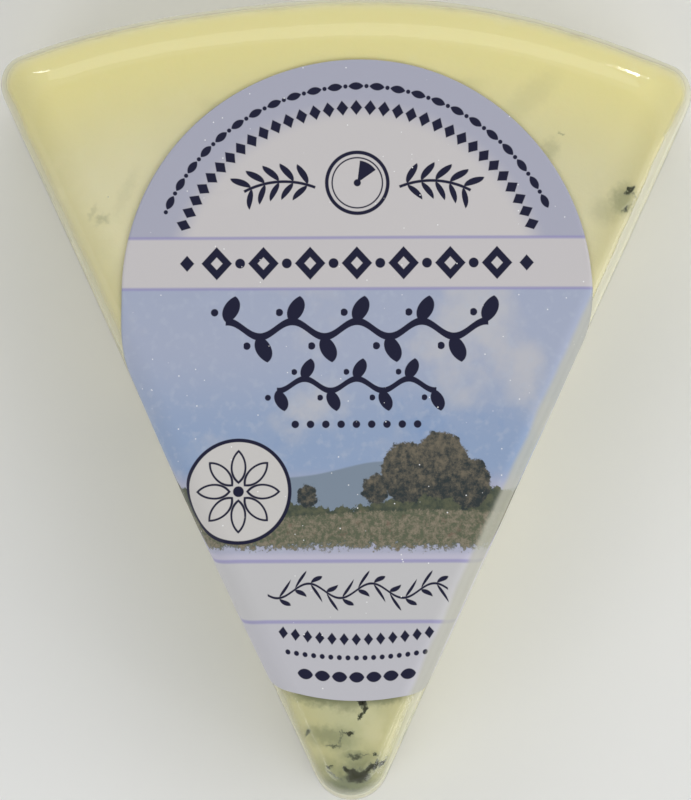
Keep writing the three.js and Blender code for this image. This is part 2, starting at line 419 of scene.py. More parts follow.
def wedge_surface():
    """The wedge's points before it settles, and its faces."""
    rings = wedge_rings()
    levels, around, _ = rings.shape
    points = np.concatenate([rings.reshape(-1, 3), [(0, MIDDLE_Y, 0), (0, MIDDLE_Y, THICKNESS)]])
    base, top = levels * around, levels * around + 1
    low = np.arange((levels - 1) * around).reshape(levels - 1, around)
    following = np.roll(low, -1, axis=1)
    walls = np.stack([low, following, following + around, low + around], axis=-1).reshape(-1, 4)
    first = np.arange(around)
    last = first + (levels - 1) * around
    faces = walls.tolist()
    faces += [(base, int(b), int(a)) for a, b in zip(first, np.roll(first, -1))]
    faces += [(top, int(a), int(b)) for a, b in zip(last, np.roll(last, -1))]
    return points, faces


def normals_of(points, faces):
    mesh = bpy.data.meshes.new("measured")
    mesh.from_pydata(points, [], faces)
    normals = np.empty(len(points) * 3)
    mesh.vertex_normals.foreach_get("vector", normals)
    bpy.data.meshes.remove(mesh)
    return normals.reshape(-1, 3)


def move_to_frame(node_box, points):
    """The move in millimetres from the wedge's own coordinates to the frame's."""
    low, high = node_box
    middle = (np.array(low) + np.array(high)) / 2 / MM
    own = (points.min(axis=0) + points.max(axis=0)) / 2
    return np.array([middle[0] - own[0], middle[1] - own[1], 0])


# The wedge before and after it settles, its normals, its move into the frame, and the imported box
WEDGE_POINTS, WEDGE_FACES = wedge_surface()
SETTLED = settle(WEDGE_POINTS)
NORMALS = normals_of(SETTLED, WEDGE_FACES)
SHIFT = move_to_frame(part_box("wrapped_wedge"), SETTLED)
BOX_LOW, BOX_HIGH = (np.array(corner) for corner in cad_box)


def fold_x(y):
    """Where the flat top ends and the label starts to fold down."""
    return y * math.tan(HALF_ANGLE) - CUT_SHOULDER / math.cos(HALF_ANGLE)


def folded(x, y, lift):
    """Points of the label's flat cut, folded over the edges that far above the cheese."""
    side = np.where(x < 0, -1, 1)
    out = np.maximum((np.abs(x) - fold_x(y)) * math.cos(HALF_ANGLE), 0)
    quarter = CUT_SHOULDER * math.pi / 2
    turn = np.minimum(out, quarter) / CUT_SHOULDER
    down = np.maximum(out - quarter, 0)
    reach = (CUT_SHOULDER + lift) * np.sin(turn) - out
    folded_x = x + side * reach * math.cos(HALF_ANGLE)
    height = THICKNESS - CUT_SHOULDER + (CUT_SHOULDER + lift) * np.cos(turn) - down
    return np.stack([folded_x, y - reach * math.sin(HALF_ANGLE), height], axis=1)


def smooth(value, low, high):
    """0 where the value is at low, 1 where it is at high, and smooth between."""
    share = np.clip((value - low) / (high - low), 0, 1)
    return share * share * (3 - 2 * share)


def noise_at(points, size, seed):
    """Soft noise from about -1 to 1 whose blobs are about that many millimetres across."""
    offset = Vector((seed * 17.3, seed * 9.1, seed * 5.7))
    return np.array([noise.noise(Vector(p) + offset) for p in (points / size).tolist()]) * 1.6


def ellipse_distance(points, x, y, half_length, half_width, turn):
    """How far each point lies from the middle of a turned ellipse, where 1 is its edge."""
    angle = math.radians(turn)
    dx = points[:, 0] - x
    dy = points[:, 1] - y
    along = (dx * math.cos(angle) + dy * math.sin(angle)) / half_length
    across = (dy * math.cos(angle) - dx * math.sin(angle)) / half_width
    return np.hypot(along, across)


def rim_depth(x, y):
    """How far a point lies inside the wheel's rim."""
    return WHEEL_RADIUS - np.hypot(x - WHEEL_X, y - WHEEL_Y)


# Pieces


def mesh_object(name, points, faces, attributes):
    """An object of those points in millimetres, moved into the frame, with values by point."""
    placed = np.clip((points + SHIFT) * MM, BOX_LOW, BOX_HIGH)
    mesh = bpy.data.meshes.new(name)
    mesh.from_pydata(placed, [], faces)
    for title, values in attributes.items():
        kind, field = ("FLOAT", "value") if values.ndim == 1 else ("FLOAT_VECTOR", "vector")
        mesh.attributes.new(title, kind, "POINT").data.foreach_set(field, values.ravel())
    mesh.shade_smooth()
    mesh.validate()
    made = bpy.data.objects.new(name, mesh)
    bpy.context.scene.collection.objects.link(made)
    return made


def finish_piece(piece, material, node):
    """Give a piece its material and its body, and hide the imported solid that it stands for."""
    piece.data.materials.append(material)
    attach(piece, "root")
    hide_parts(node)


def hollow_share():
    """How strongly each point of the top is inside one of the wider marks, from 0 to 1."""
    strongest = np.zeros(len(WEDGE_POINTS))
    for *ellipse, dark in DARK_MARKS:
        half_width = ellipse[3]
        if half_width >= HOLLOW_MARK:
            distance = ellipse_distance(WEDGE_POINTS, *ellipse)
            strongest = np.maximum(strongest, dark * smooth(1.25 - distance, 0, 0.9))
    return strongest * smooth(WEDGE_POINTS[:, 2], *TOP_FADE)


def vein_field(points):
    """How strongly mould grows at each point, from 0 to 1, as pockets, cracks and needle holes."""
    x, y, z = points.T
    inside = smooth(np.minimum(z, THICKNESS - z), 0.8, 4.5) * smooth(rim_depth(x, y), 1.5, 9)
    bent = points + 2.2 * np.stack([noise_at(points, 6, seed) for seed in (1, 2, 3)], axis=1)
    flattened = bent * (0.8, 0.8, 1.3)
    patches = smooth(noise_at(points, 12, 6), -0.6, 0.1)
    pockets = smooth(noise_at(flattened, 3.6, 4), 0.18, 0.7) * patches
    cracks = smooth(0.2 - np.abs(noise_at(flattened, 6, 5)), 0, 0.18)
    cracks *= patches * smooth(noise_at(points, 2.6, 9), -0.5, 0.3)
    along = np.hypot(x, y) + 0.5 * noise_at(points, 4, 7)
    needle = np.abs((along + 5) % NEEDLE_SPACING - NEEDLE_SPACING / 2)
    needles = smooth(0.7 - needle, 0, 0.5) * smooth(noise_at(points, 5, 8), -0.35, 0.3)
    return inside * np.clip(np.maximum.reduce([pockets, cracks * 0.85, needles * 0.8]), 0, 1)


def pucker(points):
    """Where the film is puckered, low beside the upright edges, and its thin ridges there."""
    x, y, z = points.T
    uprights = points[[np.argmin(y), np.argmin(x), np.argmax(x)], :2]
    gaps = np.array([np.hypot(x - edge[0], y - edge[1]) for edge in uprights])
    beside = gaps.min(axis=0)
    # Each face beside an upright edge has ridges of its own
    face = gaps.argmin(axis=0) * 20 + np.where(rim_depth(x, y) < 2.5, 9, 0) + np.where(x > 0, 4, 0)
    reach = np.hypot(beside, z + 1)
    fan = np.arctan2(z + 1, beside)
    streaks = noise_at(np.stack([fan * 4.5 + face, np.log(reach) * 0.9, face], axis=1), 1, 21)
    near = smooth(17 - reach, 0, 9)
    return near, near * smooth(1 - 3.4 * np.abs(streaks), 0, 1)


def add_cheese():
    """The cheese lies inside the film, with fine relief, and hollows at its veins and marks."""
    veins = vein_field(WEDGE_POINTS)
    relief = noise_at(WEDGE_POINTS, 1.6, 11) * 0.5 + noise_at(WEDGE_POINTS, 5, 12)
    hollow = VEIN_DEPTH * veins * (0.7 + 0.4 * noise_at(WEDGE_POINTS, 1.3, 13))
    hollow += MARK_DEPTH * hollow_share()
    inset = CHEESE_INSET + FILM_ROOM * pucker(WEDGE_POINTS)[0] + CHEESE_GRAIN * relief
    inset += np.maximum(hollow, 0)
    values = {"wedge_mm": WEDGE_POINTS, "vein": veins}
    piece = mesh_object("cheese", SETTLED - NORMALS * inset[:, None], WEDGE_FACES, values)
    finish_piece(piece, cheese_material(), "wrapped_wedge")


def distance_inside(points):
    """How far each point lies inside the wedge's outline, seen from above."""
    corners = outline(0, 0)
    pairs = zip(corners, np.roll(corners, -1, axis=0))
    border = np.concatenate([line(a, b, BORDER_STEPS)[:-1] for a, b in pairs])
    tree = kdtree.KDTree(len(border))
    for index, (x, y) in enumerate(border):
        tree.insert((x, y, 0), index)
    tree.balance()
    return np.array([tree.find((x, y, 0))[2] for x, y in points[:, :2]])


def painted_sheen_of(points):
    """How wide and how strong the painted pale reflection along the film's edges is at each point."""
    x, y, z = points.T
    depth = rim_depth(x, y)
    on_rim = smooth(9 - depth, 0, 4)
    on_right = smooth(x, 0, 3) * smooth(y, 8, 24) * smooth(depth, 3, 9)
    on_tip = (1 - on_right) * (1 - smooth(y, 9, 24))
    width = SHEEN_EDGE + (SHEEN_RIGHT - SHEEN_EDGE) * on_right + (SHEEN_TIP - SHEEN_EDGE) * on_tip
    share = SHEEN_FAINT + (SHEEN_STRONG - SHEEN_FAINT) * on_right
    share += (SHEEN_RIM - SHEEN_FAINT) * on_rim * (1 - on_right)
    shoulder = CUT_SHOULDER + (RIM_SHOULDER - CUT_SHOULDER) * on_rim
    low_end = THICKNESS - shoulder
    return width, share * smooth(z, low_end - 0.4 * shoulder, low_end + 0.5 * shoulder)


def add_film():
    """The film lies tight on the cheese, and stands off it where it is puckered."""
    near, ridges = pucker(WEDGE_POINTS)
    on_wall = smooth(1 - np.abs(NORMALS[:, 2]), 0.3, 0.8)
    inset = FILM_INSET + FILM_ROOM * (near - ridges * on_wall)
    width, sheen_share = painted_sheen_of(WEDGE_POINTS)
    inside = distance_inside(WEDGE_POINTS)
    values = {"wedge_mm": WEDGE_POINTS, "inside": inside, "sheen_width": width, "sheen_share": sheen_share}
    piece = mesh_object("film", SETTLED - NORMALS * inset[:, None], WEDGE_FACES, values)
    finish_piece(piece, film_material(), "wrapped_wedge")


def label_rows():
    """Heights of the label's rows on its flat cut, closer together towards its round ends."""
    turns = np.linspace(0, math.pi / 2, LABEL_ROUND_ROWS)
    low = LABEL_MIDDLE_Y - LABEL_STRAIGHT / 2 - LABEL_RADIUS * np.cos(turns)
    high = LABEL_MIDDLE_Y + LABEL_STRAIGHT / 2 + LABEL_RADIUS * np.sin(turns)
    between = np.linspace(low[-1], high[0], LABEL_STRAIGHT_ROWS)[1:-1]
    return np.concatenate([low, between, high])


def label_dents(flat):
    """How far the label stands off the film: slow unevenness, and a few small creases."""
    creases = np.zeros(len(flat))
    for crease in LABEL_CREASES:
        creases = np.maximum(creases, np.exp(-(ellipse_distance(flat, *crease) ** 2)))
    return LABEL_WAVE * noise_at(flat, 9, 31) + CREASE_HEIGHT * creases


def add_label():
    """The label: an outer and an inner face of the same rows, closed along their edges."""
    rows = label_rows()
    past = np.maximum(np.abs(rows - LABEL_MIDDLE_Y) - LABEL_STRAIGHT / 2, 0)
    half = np.sqrt(np.maximum(LABEL_RADIUS**2 - past**2, LABEL_END**2))
    x = LABEL_SHIFT + half[:, None] * np.linspace(-1, 1, LABEL_COLUMNS)
    y = np.repeat(rows[:, None], LABEL_COLUMNS, axis=1)
    flat = np.stack([x.ravel(), y.ravel(), np.zeros(x.size)], axis=1)
    outer = settle(folded(flat[:, 0], flat[:, 1], LABEL_LIFT + LABEL_THICKNESS))
    inner = settle(folded(flat[:, 0], flat[:, 1], LABEL_LIFT))
    normals = normals_of(outer, grid_faces(len(rows), LABEL_COLUMNS))
    dents = normals * label_dents(flat)[:, None]
    points = np.concatenate([outer + dents, inner + dents])
    centred = flat - (LABEL_SHIFT, LABEL_MIDDLE_Y, 0)
    values = {"label_mm": np.concatenate([centred, centred])}
    piece = mesh_object("printed_label", points, closed_grid(len(rows), LABEL_COLUMNS), values)
    finish_piece(piece, label_material(), "label")


def grid_faces(rows, columns):
    first = (np.arange(rows - 1)[:, None] * columns + np.arange(columns - 1)).ravel()
    return np.stack([first, first + 1, first + columns + 1, first + columns], axis=1).tolist()


def closed_grid(rows, columns):
    """The faces of two grids, the second turned over, joined along their edges."""
    upper = grid_faces(rows, columns)
    under = rows * columns
    lower = [[corner + under for corner in reversed(face)] for face in upper]
    border = [*range(columns), *range(2 * columns - 1, under, columns)]
    border += [*range(under - 2, under - columns - 1, -1), *range(under - 2 * columns, 0, -columns)]
    following = border[1:] + border[:1]
    rim = [[b, a, a + under, b + under] for a, b in zip(border, following)]
    return upper + lower + rim


# Materials


def linear(colour):
    """A colour given as 0 to 255 for a screen, as the shader needs it."""
    shares = [channel / 255 for channel in colour]
    return tuple(s / 12.92 if s <= 0.04045 else ((s + 0.055) / 1.055) ** 2.4 for s in shares) + (1,)


class Signal:
    """A number that flows through a material's nodes, so that a mask reads as a plain formula."""

    def __init__(self, tree, socket):
        self.tree = tree
        self.socket = socket

    def made(self, operation, *others):
        node = self.tree.nodes.new("ShaderNodeMath")
        node.operation = operation
        for place, value in zip(node.inputs, (self, *others)):
            feed(self.tree, value, place)
        return Signal(self.tree, node.outputs[0])

    def __add__(self, other):
        return self.made("ADD", other)

    def __sub__(self, other):
        return self.made("SUBTRACT", other)

    def __rsub__(self, other):
        return (self * -1) + other

    def __mul__(self, other):
        return self.made("MULTIPLY", other)

    def __truediv__(self, other):
        return self.made("DIVIDE", other)

    def __abs__(self):
        return self.made("ABSOLUTE")

    def sine(self):
        return self.made("SINE")

    def cosine(self):
        return self.made("COSINE")

    def rise(self, low, high):
        """0 where the signal is at low, 1 where it is at high, and smooth between."""
        node = self.tree.nodes.new("ShaderNodeMapRange")
        node.interpolation_type = "SMOOTHSTEP"
        feed(self.tree, self, node.inputs["Value"])
        node.inputs["From Min"].default_value = low
        node.inputs["From Max"].default_value = high
        return Signal(self.tree, node.outputs["Result"])


def feed(tree, value, place):
    if isinstance(value, Signal):
        tree.links.new(value.socket, place)
    else:
        place.default_value = value


def larger(first, *others):
    for other in others:
        first = first.made("MAXIMUM", other)
    return first


def smaller(first, *others):
    for other in others:
        first = first.made("MINIMUM", other)
    return first


def length(x, y):
    return (x * x + y * y).made("SQRT")


def new_material(name):
    material = bpy.data.materials.new(name)
    material.use_nodes = True
    tree = material.node_tree
    tree.nodes.clear()
    return material, tree, tree.nodes.new("ShaderNodeOutputMaterial")


def principled(tree, output, settings):
    """A Principled shader with those plain settings, joined to the material's output."""
    shader = tree.nodes.new("ShaderNodeBsdfPrincipled")
    for name, value in settings.items():
        shader.inputs[name].default_value = value
    tree.links.new(shader.outputs[0], output.inputs["Surface"])
    return shader


def position(tree, attribute):
    """A point's stored place in millimetres: the vector and its three numbers."""
    node = tree.nodes.new("ShaderNodeAttribute")
    node.attribute_name = attribute
    parts = tree.nodes.new("ShaderNodeSeparateXYZ")
    tree.links.new(node.outputs["Vector"], parts.inputs[0])
    return node.outputs["Vector"], [Signal(tree, socket) for socket in parts.outputs]


def stored(tree, attribute):
    node = tree.nodes.new("ShaderNodeAttribute")
    node.attribute_name = attribute
    return Signal(tree, node.outputs["Fac"])


def grain(tree, vector, size, seed, detail=2, roughness=0.5):
    """Noise from about -0.5 to 0.5 whose blobs are about that many millimetres across."""
    node = tree.nodes.new("ShaderNodeTexNoise")
    node.noise_dimensions = "4D"
    node.inputs["W"].default_value = seed
    node.inputs["Scale"].default_value = 1 / size
    node.inputs["Detail"].default_value = detail
    node.inputs["Roughness"].default_value = roughness
    tree.links.new(vector, node.inputs["Vector"])
    return Signal(tree, node.outputs["Fac"]) - 0.5


def specks(tree, vector, spacing, size, share):
    """Scattered small dots about the centres of cells, in that share of the cells only."""
    node = tree.nodes.new("ShaderNodeTexVoronoi")
    node.inputs["Scale"].default_value = 1 / spacing
    tree.links.new(vector, node.inputs["Vector"])
    colour = tree.nodes.new("ShaderNodeSeparateColor")
    tree.links.new(node.outputs["Color"], colour.inputs[0])
    chosen = Signal(tree, colour.outputs[0]).rise(share + 0.01, share)
    dots = Signal(tree, node.outputs["Distance"]).rise(size / spacing, size * 0.5 / spacing)
    return dots * chosen


def paint(tree, colour, *layers):
    """A colour with others laid over it in turn, each as strongly as its mask says."""
    for upper, mask in layers:
        node = tree.nodes.new("ShaderNodeMix")
        node.data_type = "RGBA"
        feed(tree, mask, node.inputs["Factor"])
        for value, place in zip((colour, upper), (node.inputs[6], node.inputs[7])):
            if isinstance(value, tuple):
                place.default_value = linear(value)
            else:
                tree.links.new(value, place)
        colour = node.outputs[2]
    return colour


def bump(tree, height, distance, strength):
    node = tree.nodes.new("ShaderNodeBump")
    node.inputs["Strength"].default_value = strength
    node.inputs["Distance"].default_value = distance
    tree.links.new(height.socket, node.inputs["Height"])
    return node.outputs["Normal"]


def measured_along(tree, place, centre, turn, unit):
    """How far a place lies from a centre along one direction, counted in units of that length."""
    direction = Vector((math.cos(turn), math.sin(turn), 0)) / unit
    direction.z = -direction.dot(Vector((*centre, 0)))
    node = tree.nodes.new("ShaderNodeVectorMath")
    node.operation = "DOT_PRODUCT"
    tree.links.new(place, node.inputs[0])
    node.inputs[1].default_value = direction
    return Signal(tree, node.outputs["Value"])


def mark_signal(tree, x, y, marks, soft):
    """How dark a point of the top is, from 0 to 1, with that softness at the marks' edges."""
    joined = tree.nodes.new("ShaderNodeCombineXYZ")
    for value, place in zip((x, y, 1), joined.inputs):
        feed(tree, value, place)
    shares = []
    for *centre, half_length, half_width, turn, dark in marks:
        angle = math.radians(turn)
        along = measured_along(tree, joined.outputs[0], centre, angle, half_length)
        across = measured_along(tree, joined.outputs[0], centre, angle + math.pi / 2, half_width)
        shares.append(length(along, across).rise(1 + soft, 1 - soft) * dark)
    return larger(*shares)


def paste_colours(tree, at):
    """The cheese's colours: ivory, yellower towards the rim, greyer green at the tip, and painted
    shade darker towards the cut edges.
    """
    past_cut = abs(at.x) * math.cos(HALF_ANGLE) - at.y * math.sin(HALF_ANGLE)
    return paint(
        tree,
        IVORY,
        (WARM_IVORY, at.slow.rise(-0.2, 0.2)),
        (BUTTER, at.radius.rise(80, 96) * (at.on_top * 0.5 + 0.5)),
        (GREY_GREEN, at.y.rise(34, 8) * 0.85),
        # Painted shade: darker olive towards the cut edges
        (CUT_EDGE_SHADE, past_cut.rise(-5.5, -1) * 0.5),
        (CREAM, at.medium.rise(0.05, 0.28) * 0.3),
        (SIDE_IVORY, (1 - at.on_top) * 0.6),
    )


def mark_colours(tree, vector, colour, at):
    """The mould on top: soft stains, with painted shadow along the label's lower edge, and ragged
    marks that darken towards their middles.
    """
    shifts = [grain(tree, vector, 0.7, detail=4, seed=seed, roughness=0.7) for seed in (4, 5)]
    x = at.x + shifts[0] * RAGGED_REACH
    y = at.y + shifts[1] * RAGGED_REACH
    # Soft stains, and painted shadow along the label's lower edge
    stains_and_shadow = mark_signal(tree, x, y, STAINS_AND_LABEL_SHADOW, SOFT_SOFTNESS) * at.on_top
    patchy = grain(tree, vector, 0.5, detail=3, seed=17, roughness=0.7).rise(-0.3, 0.1) * 0.5 + 0.55
    dark = mark_signal(tree, x, y, DARK_MARKS, DARK_SOFTNESS) * at.on_top * patchy
    return paint(
        tree,
        colour,
        (STAIN_AND_SHADE, stains_and_shadow),
        (MARK_EDGE, dark.rise(0, 0.5) * 0.8),
        (MARK_CORE, dark.rise(0.25, 0.8)),
    )


def vein_colours(tree, vector, colour, at):
    """The mould inside: the stored veins, and finer threads and flecks between them."""
    veins = stored(tree, "vein")
    grown = veins + (at.fine * 1.5 + at.medium * 0.6) * veins.rise(0, 0.3)
    hue = grain(tree, vector, 7, seed=15).rise(-0.15, 0.15)
    inside = at.z.rise(1, 5) * at.z.rise(THICKNESS - 2, THICKNESS - 6)
    inside *= (WHEEL_RADIUS - at.radius).rise(2, 9)
    threads = abs(grain(tree, vector, 7, detail=3, seed=21, roughness=0.6)).rise(0.05, 0.0)
    threads *= grain(tree, vector, 9, seed=22).rise(-0.08, 0.14) * inside
    flecks = specks(tree, vector, 1.6, 0.4, 0.4) * (at.medium + at.slow).rise(-0.05, 0.15) * inside
    return paint(
        tree,
        colour,
        (PALE_VEIN, grown.rise(0.0, 0.5) * 0.8),
        (paint(tree, GREEN_VEIN, (BLUE_VEIN, hue)), grown.rise(0.3, 0.8) * 0.9),
        (DEEP_VEIN, grown.rise(0.75, 1.2) * 0.85),
        (THREAD, threads * 0.7),
        (THREAD_CORE, threads.rise(0.45, 1.0) * 0.75),
        (FLECK, flecks * 0.6),
    )


def rind_colours(tree, vector, colour, at):
    """Brownish and greyish blotches on the rind, below the rim."""
    on_rind = at.radius.rise(WHEEL_RADIUS - 3, WHEEL_RADIUS - 1) * (1 - at.on_top)
    brown = (grain(tree, vector, 6, detail=4, seed=16) + at.fine * 0.4).rise(0.02, 0.22) * on_rind
    grey = (at.medium + at.fine).rise(0.2, 0.42) * on_rind
    return paint(tree, colour, (RIND_BROWN, brown * 0.8), (RIND_GREY, grey * 0.6))


def cheese_material():
    """Moist, slightly translucent cheese, with its mould and its rind."""
    material, tree, output = new_material("cheese")
    vector, (x, y, z) = position(tree, "wedge_mm")
    at = SimpleNamespace(x=x, y=y, z=z)
    at.radius = length(x - WHEEL_X, y - WHEEL_Y)
    at.on_top = z.rise(*TOP_FADE)
    at.slow = grain(tree, vector, 16, seed=1)
    at.medium = grain(tree, vector, 4.5, detail=3, seed=2)
    at.fine = grain(tree, vector, 0.7, detail=4, seed=3, roughness=0.65)
    colour = paste_colours(tree, at)
    colour = mark_colours(tree, vector, colour, at)
    colour = vein_colours(tree, vector, colour, at)
    colour = rind_colours(tree, vector, colour, at)
    settings = {
        "Roughness": 0.5,
        "Subsurface Weight": 0.2,
        "Subsurface Radius": (1.0, 0.75, 0.4),
        "Subsurface Scale": 0.0012,
    }
    shader = principled(tree, output, settings)
    tree.links.new(colour, shader.inputs["Base Color"])
    height = at.medium * 0.6 + at.fine * 0.5
    tree.links.new(bump(tree, height, 0.0002, 0.5), shader.inputs["Normal"])
    return material


def mixed_shaders(tree, share, first, second):
    """Two shaders mixed, with that share of the second."""
    node = tree.nodes.new("ShaderNodeMixShader")
    for socket, place in zip((share.socket, first, second), node.inputs):
        tree.links.new(socket, place)
    return node.outputs[0]


def matt_shader(tree, colour):
    node = tree.nodes.new("ShaderNodeBsdfDiffuse")
    node.inputs["Color"].default_value = linear(colour)
    return node.outputs[0]


def clear_film(tree, normal):
    """Clear film, which mirrors the room the more the flatter it is seen."""
    slant = tree.nodes.new("ShaderNodeLayerWeight")
    slant.inputs["Blend"].default_value = 0.5
    tree.links.new(normal, slant.inputs["Normal"])
    steep = Signal(tree, slant.outputs["Facing"]).made("POWER", 5)
    gloss = tree.nodes.new("ShaderNodeBsdfGlossy")
    gloss.inputs["Roughness"].default_value = 0.06
    tree.links.new(normal, gloss.inputs["Normal"])
    clear = tree.nodes.new("ShaderNodeBsdfTransparent")
    mirrored = steep * (EDGE_MIRROR - FILM_MIRROR) + FILM_MIRROR
    return mixed_shaders(tree, mirrored, clear.outputs[0], gloss.outputs[0])


def painted_sheen_strip(tree, vector):
    """How strongly the painted pale reflection covers the film: sharp where it is strong, and soft
    elsewhere.
    """
    wavy = grain(tree, vector, 6, seed=18) * 0.5 + grain(tree, vector, 1.6, seed=19) * 0.15
    sheen_share = stored(tree, "sheen_share")
    beyond = stored(tree, "sheen_width") + wavy - stored(tree, "inside")
    sharp = beyond.rise(-0.12, 0.1) * sheen_share.rise(SHEEN_SHARP, SHEEN_STRONG)
    soft = beyond.rise(-0.5, 0.5) * sheen_share.rise(SHEEN_STRONG, SHEEN_SHARP)
    return (sharp + soft) * sheen_share


def film_material():
    """Shrink film: clear, glossy, wrinkled on its sides, with a painted pale reflection along its
    edges, and white specks of dust and painted glints.
    """
    material, tree, output = new_material("film")
    vector, (_, _, z) = position(tree, "wedge_mm")
    on_wall = z.rise(THICKNESS - 2, THICKNESS - 8)
    wrinkles = grain(tree, vector, 5, detail=3, seed=6) * on_wall
    wrinkles += grain(tree, vector, 2.4, seed=7) * FINE_WRINKLES
    shader = clear_film(tree, bump(tree, wrinkles, 0.001, 0.6))
    # A matt pale layer along the upper edges: a painted reflection
    shader = mixed_shaders(tree, painted_sheen_strip(tree, vector), shader, matt_shader(tree, PAINTED_EDGE_SHEEN))
    # White specks on the film: a little dust, and painted glints
    dust_and_glints = specks(tree, vector, 4.0, 0.17, 0.3)
    shader = mixed_shaders(tree, dust_and_glints, shader, matt_shader(tree, DUST_AND_GLINT))
    tree.links.new(shader, output.inputs["Surface"])
    return material


# The label's print. Each shape is given by how far outside it a point lies.


def cover(distance, edge=INK_EDGE):
    """How fully ink covers a point at that distance outside a shape."""
    return distance.rise(edge, -edge)


def within(value, low, high, edge=SOFT_EDGE):
    return value.rise(low - edge, low + edge) * value.rise(high + edge, high - edge)


def beneath(value, height):
    return value.rise(height + SOFT_EDGE, height - SOFT_EDGE)


def polar(x, y):
    """How far a point lies from a centre, and its angle round it from straight up."""
    return length(x, y), x.made("ARCTAN2", y)


def repeated(value, pitch, each_side):
    """The distance to the nearest of marks at that pitch, so many each side of the middle."""
    nearest = smaller(larger((value / pitch).made("ROUND"), -each_side), each_side)
    return value - nearest * pitch


def leaf(along, across, half_length, half_width):
    """The distance outside a pointed leaf: where two circles overlap."""
    offset = (half_length**2 - half_width**2) / (2 * half_width)
    return length(along, abs(across) + offset) - (offset + half_width)


def diamond(x, y, half_x, half_y):
    share = abs(x) / half_x + abs(y) / half_y
    return (share - 1) * (half_x * half_y / math.hypot(half_x, half_y))


def vine(u, v, pitch, swing, leaf_length, leaf_width, stem, each_side):
    """A wavy stem with a leaf and a berry at every bend, so many bends each side of the middle."""
    half = pitch / 2
    bend = smaller(larger((u / half).made("ROUND"), -each_side), each_side)
    beside = u - bend * half
    up = v * (bend * math.pi).cosine()
    stem_v = (u * (2 * math.pi / pitch)).cosine() * swing
    stem_ink = cover(abs(v - stem_v) - stem) * cover(abs(u) - (each_side + 0.06) * half)
    slanted = beside - (up - swing) * 0.3
    leaves = cover(leaf(up - swing - leaf_length * 0.9, slanted, leaf_length, leaf_width))
    berries = cover(length(beside + pitch / 5, up - swing * 2.2) - leaf_width * 0.45)
    return larger(stem_ink, leaves, berries)


def arch_ornament(u, v):
    """Two rows along the arch: small leaves with dots between them, and diamonds inside them."""
    radius, turn = polar(u - ARCH[0], v - ARCH[1])
    along = turn * OUTER_ROW
    leaf_along = repeated(along, OUTER_PITCH, 11)
    dot_along = repeated(along + OUTER_PITCH / 2, OUTER_PITCH, 11)
    leaves = leaf(leaf_along, radius - OUTER_ROW, 0.85, 0.42)
    dots = length(dot_along, radius - OUTER_ROW) - 0.24
    diamond_along = repeated(turn * INNER_ROW, INNER_PITCH, 16)
    diamonds = diamond(diamond_along, radius - INNER_ROW, 0.66, 0.85)
    return larger(cover(leaves), cover(dots), cover(diamonds))


def sprigs(u, v):
    """A leafy sprig at each side of a middle, bent round a centre below it."""
    radius, turn = polar(abs(u) - SPRIG_CENTRE[0], v - SPRIG_CENTRE[1])
    along = turn * SPRIG_RADIUS
    across = abs(radius - SPRIG_RADIUS)
    stem = cover(across - 0.16) * within(along, -3.6, 4.6)
    leaf_along = repeated(along - across * 0.7 - 0.5, 1.6, 2)
    return larger(stem, cover(leaf(across - 1.05, leaf_along, 1.0, 0.44)))


def emblem(u, v):
    """A wheel of cheese seen from above, with one wedge picked out, between two leafy sprigs."""
    du = u - ARCH[0]
    dv = v - EMBLEM_V
    radius, turn = polar(du, dv)
    wheel = larger(cover(abs(radius - 3.4) - 0.2), cover(abs(radius - 2.8) - 0.08))
    wedge = cover(abs(turn - 0.55) - 0.42, 0.02) * cover(radius - 2.5)
    hub = cover(radius - 0.4)
    return larger(wheel, wedge, hub, sprigs(du, dv))


def name_border(u, v):
    """Large open diamonds with dots between them, along the middle of the upper band."""
    pitch = 5.2
    dv = v - 12.95
    across = repeated(u, pitch, 3)
    diamonds = cover(diamond(across, dv, 1.7, 1.85)) * (1 - cover(diamond(across, dv, 0.65, 0.7)))
    dots = cover(length(repeated(u - pitch / 2, pitch, 3), dv) - 0.55) * cover(abs(u) - 17)
    small = cover(diamond(abs(u) - 18.9, dv, 0.8, 0.9))
    return larger(diamonds, dots, small)


def sky_ornament(u, v):
    """Two rows of bold vine, the lower one shorter, and a line of dots under them."""
    upper = vine(u, v - 5.6, 7.2, 0.85, 1.5, 0.92, 0.42, 4)
    lower = vine(u, v + 0.6, 5.8, 0.65, 1.2, 0.74, 0.34, 3)
    dots = cover(length(repeated(u, 1.7, 4), v + 5) - 0.42)
    return larger(upper, lower, dots)


def band_ornament(u, v):
    """A thin winding sprig, as if drawn with a pen, along the lower white band."""
    offset = abs(v - (u * 0.9).sine() * 0.8 + 23.5)
    stem = cover(offset - 0.13) * cover(abs(u - 0.2) - 10)
    beside = repeated(u - 0.2 - offset * 0.9, 1.75, 5)
    leaves = cover(leaf(offset - 0.75, beside, 0.7, 0.28))
    return larger(stem, leaves)


def low_ornament(u, v):
    """Three short rows under the last rule, the lowest one the heaviest."""
    sag = u * u * 0.012
    first = cover(diamond(repeated(u, 1.35, 6), v + 28.9 - sag, 0.52, 0.68))
    second = cover(length(repeated(u, 0.95, 8), v + 30.95 - sag) - 0.28)
    third = cover(leaf(repeated(u, 1.9, 3), v + 33.1 - sag, 0.85, 0.58))
    return larger(first, second, third)


def badge_flower(u, v):
    """A plain flower of eight petals round a dot, in a ring."""
    radius, turn = polar(u - BADGE[0], v - BADGE[1])
    beside = repeated(turn, math.pi / 4, 4) * radius
    petals = cover(abs(leaf(radius - 2.75, beside, 1.75, 0.78)) - 0.12)
    ring = cover(abs(radius - BADGE_RADIUS) - 0.2)
    return larger(ring, petals, cover(radius - 0.6))


ORNAMENTS = (
    arch_ornament,
    emblem,
    name_border,
    sky_ornament,
    band_ornament,
    low_ornament,
    badge_flower,
)


